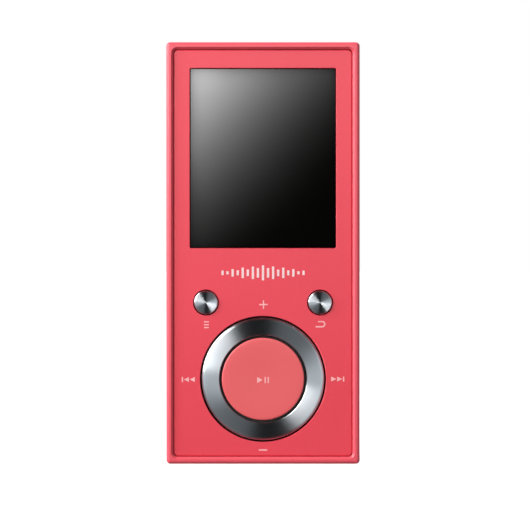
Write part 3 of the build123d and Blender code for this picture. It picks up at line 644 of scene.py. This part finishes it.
def makeFloor():
    bm = bmesh.new()
    radii = studio["floorRadii"]
    steps = studio["floorSteps"]
    centre = bm.verts.new((0, 0, 0))
    turn = [2 * math.pi * i / steps for i in range(steps)]
    rings = [[bm.verts.new((r * math.cos(t), r * math.sin(t), 0)) for t in turn] for r in radii]
    for i in range(steps):
        after = (i + 1) % steps
        bm.faces.new((centre, rings[0][i], rings[0][after]))
        for a, b in zip(rings, rings[1:]):
            bm.faces.new((a[i], b[i], b[after], a[after]))
    mesh = bpy.data.meshes.new("paleFloor")
    bm.to_mesh(mesh)
    bm.free()
    floor = bpy.data.objects.new("paleFloor", mesh)
    bpy.context.scene.collection.objects.link(floor)
    mesh.materials.append(surface("paleFloorPaint", studio["floorTint"], 0.8, grain=300, vary=0.005))
    shader = mesh.materials[0].node_tree.nodes["Principled BSDF"]
    shader.inputs["Emission Color"].default_value = (1, 1, 1, 1)
    shader.inputs["Emission Strength"].default_value = studio["floorGlow"]
    shader.inputs["Specular IOR Level"].default_value = 0.0
    floor.visible_glossy = False
    floor.visible_diffuse = False


def makeKeyLight():
    toKey = Vector(studio["keyDirection"]).normalized()
    target = Vector((0, 0, playerHeight / 2))
    light = bpy.data.lights.new("keySoftbox", "AREA")
    light.shape = "RECTANGLE"
    light.size, light.size_y = studio["keySize"]
    light.energy = studio["keyPower"]
    lamp = bpy.data.objects.new("keySoftbox", light)
    bpy.context.scene.collection.objects.link(lamp)
    lamp.location = target + toKey * studio["keyDistance"]
    lamp.rotation_mode = "QUATERNION"
    lamp.rotation_quaternion = toKey.to_track_quat("Z", "Y")
    lamp.visible_camera = False


# the camera, square on to the face
view = {
    "lens": 135.0,
    "sensor": 36.0,
    "distance": 0.400,
    "aim": (0.0004, 0.04008),  # x and height of its middle
}

# the card that the window mirrors
card = {
    "distance": 1.0,
    "power": 0.68,
    "corner": 0.90,  # level at its upper left corner
    "across": 0.465,  # how much darker to the right
    "down": 0.54,  # and downwards
    "fall": 4.0,
}


def makeWindowCard():
    # a small graded card that only the window mirrors, brightest at its upper left corner
    lensMiddle = (windowLow + windowHigh) / 2
    grow = 1 + card["distance"] / view["distance"]
    width = (windowHigh.x - windowLow.x) * grow
    height = (windowHigh.z - windowLow.z) * grow
    light = bpy.data.lights.new("windowCard", "AREA")
    light.shape = "RECTANGLE"
    light.size, light.size_y = width, height
    light.energy = card["power"]
    lamp = bpy.data.objects.new("windowCard", light)
    bpy.context.scene.collection.objects.link(lamp)
    lamp.location = (lensMiddle.x - view["aim"][0] * (grow - 1), windowLow.y - card["distance"],
                     lensMiddle.z + (lensMiddle.z - view["aim"][1]) * (grow - 1))
    lamp.rotation_euler = (math.pi / 2, 0, 0)
    lamp.visible_camera = False
    mirrors = bpy.data.collections.new("windowCardMirrors")
    mirrors.objects.link(lens)
    lamp.light_linking.receiver_collection = mirrors
    light.use_nodes = True
    sheet = NodeSheet(light.node_tree)
    emission = next(n for n in light.node_tree.nodes if n.type == "EMISSION")
    place = sheet.add("ShaderNodeSeparateXYZ", {0: sheet.add("ShaderNodeNewGeometry").outputs["Position"]})
    left, top = lamp.location.x - width / 2, lamp.location.z + height / 2
    across = sheet.spread(place.outputs["X"], left, left + width, 0.0, card["across"])
    down = sheet.spread(place.outputs["Z"], top, top - height, 0.0, card["down"])
    level = sheet.sum("SUBTRACT", card["corner"], sheet.sum("ADD", across, down), clamp=True)
    sheet.tree.links.new(sheet.sum("POWER", level, card["fall"]), emission.inputs["Strength"])


# the card that the lacquer mirrors
sheen = {
    "distance": 0.6,
    "height": 0.22,
    "size": (0.5, 0.30),
    "power": 0.98,
}


def makeSheenCard():
    # a broad card above the front that only the lacquer mirrors, so its upper part has a little more sheen
    light = bpy.data.lights.new("sheenCard", "AREA")
    light.shape = "RECTANGLE"
    light.size, light.size_y = sheen["size"]
    light.energy = sheen["power"]
    lamp = bpy.data.objects.new("sheenCard", light)
    bpy.context.scene.collection.objects.link(lamp)
    lamp.location = (0, rimFront - sheen["distance"], sheen["height"])
    lamp.rotation_euler = (math.pi / 2, 0, 0)
    lamp.visible_camera = False
    lamp.visible_diffuse = False
    mirrors = bpy.data.collections.new("sheenCardMirrors")
    for piece in (nodes["front_panel"], nodes["side_frame"], centreKey):
        mirrors.objects.link(piece)
    lamp.light_linking.receiver_collection = mirrors


def makeDome():
    # the dome is white to the camera, soft to the surfaces, and patterned for reflections
    world = bpy.data.worlds.new("studioDome")
    bpy.context.scene.world = world
    world.use_nodes = True
    tree = world.node_tree
    tree.nodes.clear()
    sheet = NodeSheet(tree)
    way = sheet.add("ShaderNodeTexCoord").outputs["Generated"]
    axes = sheet.add("ShaderNodeSeparateXYZ", {0: way})
    x, y, z = (axes.outputs[k] for k in "XYZ")
    rays = sheet.add("ShaderNodeLightPath")
    behind = sheet.spread(y, -0.25, 0.45, 0.0, 1.0, smooth=True)
    # a turned face mirrors what is round the front axis, so the grey of the reflections is patterned round it
    turn = sheet.sum("ARCTAN2", sheet.sum("MULTIPLY", z, -1.0), x)
    share = sheet.sum("DIVIDE", sheet.sum("FLOORED_MODULO", turn, math.pi), math.pi)
    steps = sheet.add("ShaderNodeValToRGB", {0: share})
    ramp = steps.color_ramp
    ramp.interpolation = "LINEAR"
    while len(ramp.elements) > 1:
        ramp.elements.remove(ramp.elements[-1])
    for n, (degrees, level) in enumerate(studio["round"]):
        stop = ramp.elements[0] if n == 0 else ramp.elements.new(degrees / 180)
        stop.position = degrees / 180
        stop.color = (level, level, level, 1.0)
    gloss = sheet.vector("MULTIPLY", steps.outputs[0], studio["glossTint"])
    off = sheet.sum("SQRT", sheet.sum("SUBTRACT", 1.0, sheet.sum("MULTIPLY", y, y)))
    clear = sheet.sum("MULTIPLY", sheet.spread(off, 0.16, 0.26, 0.0, 1.0, smooth=True),
                      sheet.spread(off, 0.72, 0.92, 1.0, studio["sideShare"], smooth=True))
    gloss = sheet.blend(clear, shade(colour(1, 1, 1), studio["nearAxis"]), gloss)
    gloss = sheet.blend(sheet.spread(y, -0.03, 0.4, 0.0, 1.0, smooth=True), gloss,
                        shade(colour(1, 1, 1), studio["domeBack"]))
    # soft light: dimmer in front and below, brighter behind
    height = sheet.spread(z, -0.6, 0.6, 0.55, 1.35, smooth=True)
    soft = sheet.spread(behind, 0.0, 1.0, studio["domeFront"], studio["domeBack"])
    soft = sheet.sum("MULTIPLY", soft, height)
    softColour = sheet.add("ShaderNodeCombineXYZ", {0: soft, 1: soft, 2: soft}).outputs[0]
    lit = sheet.blend(rays.outputs["Is Glossy Ray"], softColour, gloss)
    lit = sheet.blend(rays.outputs["Is Camera Ray"], lit, studio["background"])
    back = sheet.add("ShaderNodeBackground", {"Color": lit, "Strength": 1.0})
    out = sheet.add("ShaderNodeOutputWorld")
    tree.links.new(back.outputs[0], out.inputs[0])


def makeCamera():
    data = bpy.data.cameras.new("frontCamera")
    data.lens = view["lens"]
    data.sensor_width = view["sensor"]
    data.clip_start, data.clip_end = 0.01, 100
    camera = bpy.data.objects.new("frontCamera", data)
    bpy.context.scene.collection.objects.link(camera)
    camera.location = (view["aim"][0], rimFront - view["distance"], view["aim"][1])
    camera.rotation_euler = (math.pi / 2, 0, 0)
    bpy.context.scene.camera = camera


makeFloor()
makeKeyLight()
makeWindowCard()
makeSheenCard()
makeDome()
makeCamera()
bpy.context.scene.view_settings.view_transform = "Standard"
print("studio set")
